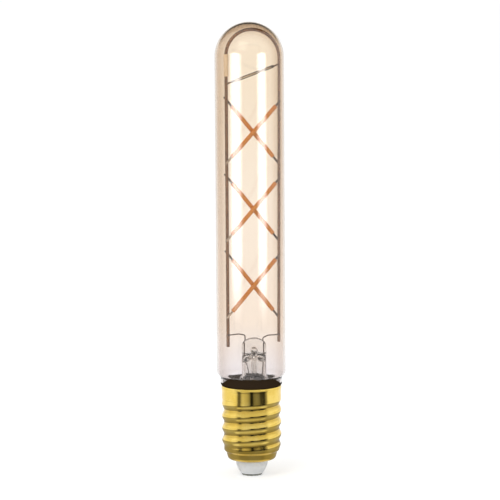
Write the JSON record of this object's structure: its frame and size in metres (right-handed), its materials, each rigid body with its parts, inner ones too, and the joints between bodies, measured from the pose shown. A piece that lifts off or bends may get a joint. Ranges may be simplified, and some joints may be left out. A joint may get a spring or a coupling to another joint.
{
  "type": "tubular light bulb",
  "caption": "Tubular screw-cap light bulb: tall amber glass tube with a domed end, crossed filament strips between support rods on a glass stem, threaded brass cap.",
  "frame": {"origin": "middle of the centre contact's lower face", "axes": "+Z along the lamp's axis from the cap to the dome, +X to the right seen from the front, the front at -Y"},
  "size_m": [0.03, 0.03, 0.1991],
  "materials": {
    "amber_glass": "clear amber coating that fades out towards the neck",
    "clear_glass": "clear, fire-polished",
    "mount_wire": "dark oxidised wire",
    "lead_wire": "bright drawn wire",
    "tab_metal": "bright strip",
    "sleeve": "matt tan",
    "filament_coating": "matt, slightly grainy",
    "brass_cap": "bright rolled sheet",
    "cement": "rough and dark",
    "insulator": "smooth white",
    "contact_metal": "satin",
    "board_laminate": "plain",
    "component_black": "moulded",
    "capacitor_can": "drawn",
    "resistor_coating": "matt"
  },
  "bodies": {
    "root": {"glass_envelope": "amber_glass", "glass_stem": "clear_glass", "exhaust_tube": "clear_glass", "lead_wire_left": "lead_wire", "lead_wire_right": "lead_wire", "support_rod_left": "mount_wire", "support_rod_right": "mount_wire", "insulating_sleeve": "sleeve", "spacer_bar": "clear_glass", "spacer_pin_left": "mount_wire", "spacer_pin_right": "mount_wire", "cap_shell": "brass_cap", "cap_cement": "cement", "neck_plug": "cement", "cap_insulator": "insulator", "centre_contact": "contact_metal", "driver_board": "board_laminate", "bridge_rectifier": "component_black", "driver_chip": "component_black", "smoothing_capacitor": "capacitor_can", "fusible_resistor": "resistor_coating", "centre_lead": "lead_wire", "side_lead": "lead_wire", "led_filament_1": "filament_coating", "filament_tab_1_left": "tab_metal", "filament_tab_1_right": "tab_metal", "led_filament_2": "filament_coating", "filament_tab_2_left": "tab_metal", "filament_tab_2_right": "tab_metal", "led_filament_3": "filament_coating", "filament_tab_3_left": "tab_metal", "filament_tab_3_right": "tab_metal", "led_filament_4": "filament_coating", "filament_tab_4_left": "tab_metal", "filament_tab_4_right": "tab_metal", "led_filament_5": "filament_coating", "filament_tab_5_left": "tab_metal", "filament_tab_5_right": "tab_metal", "led_filament_6": "filament_coating", "filament_tab_6_left": "tab_metal", "filament_tab_6_right": "tab_metal"}
  },
  "joints": []
}
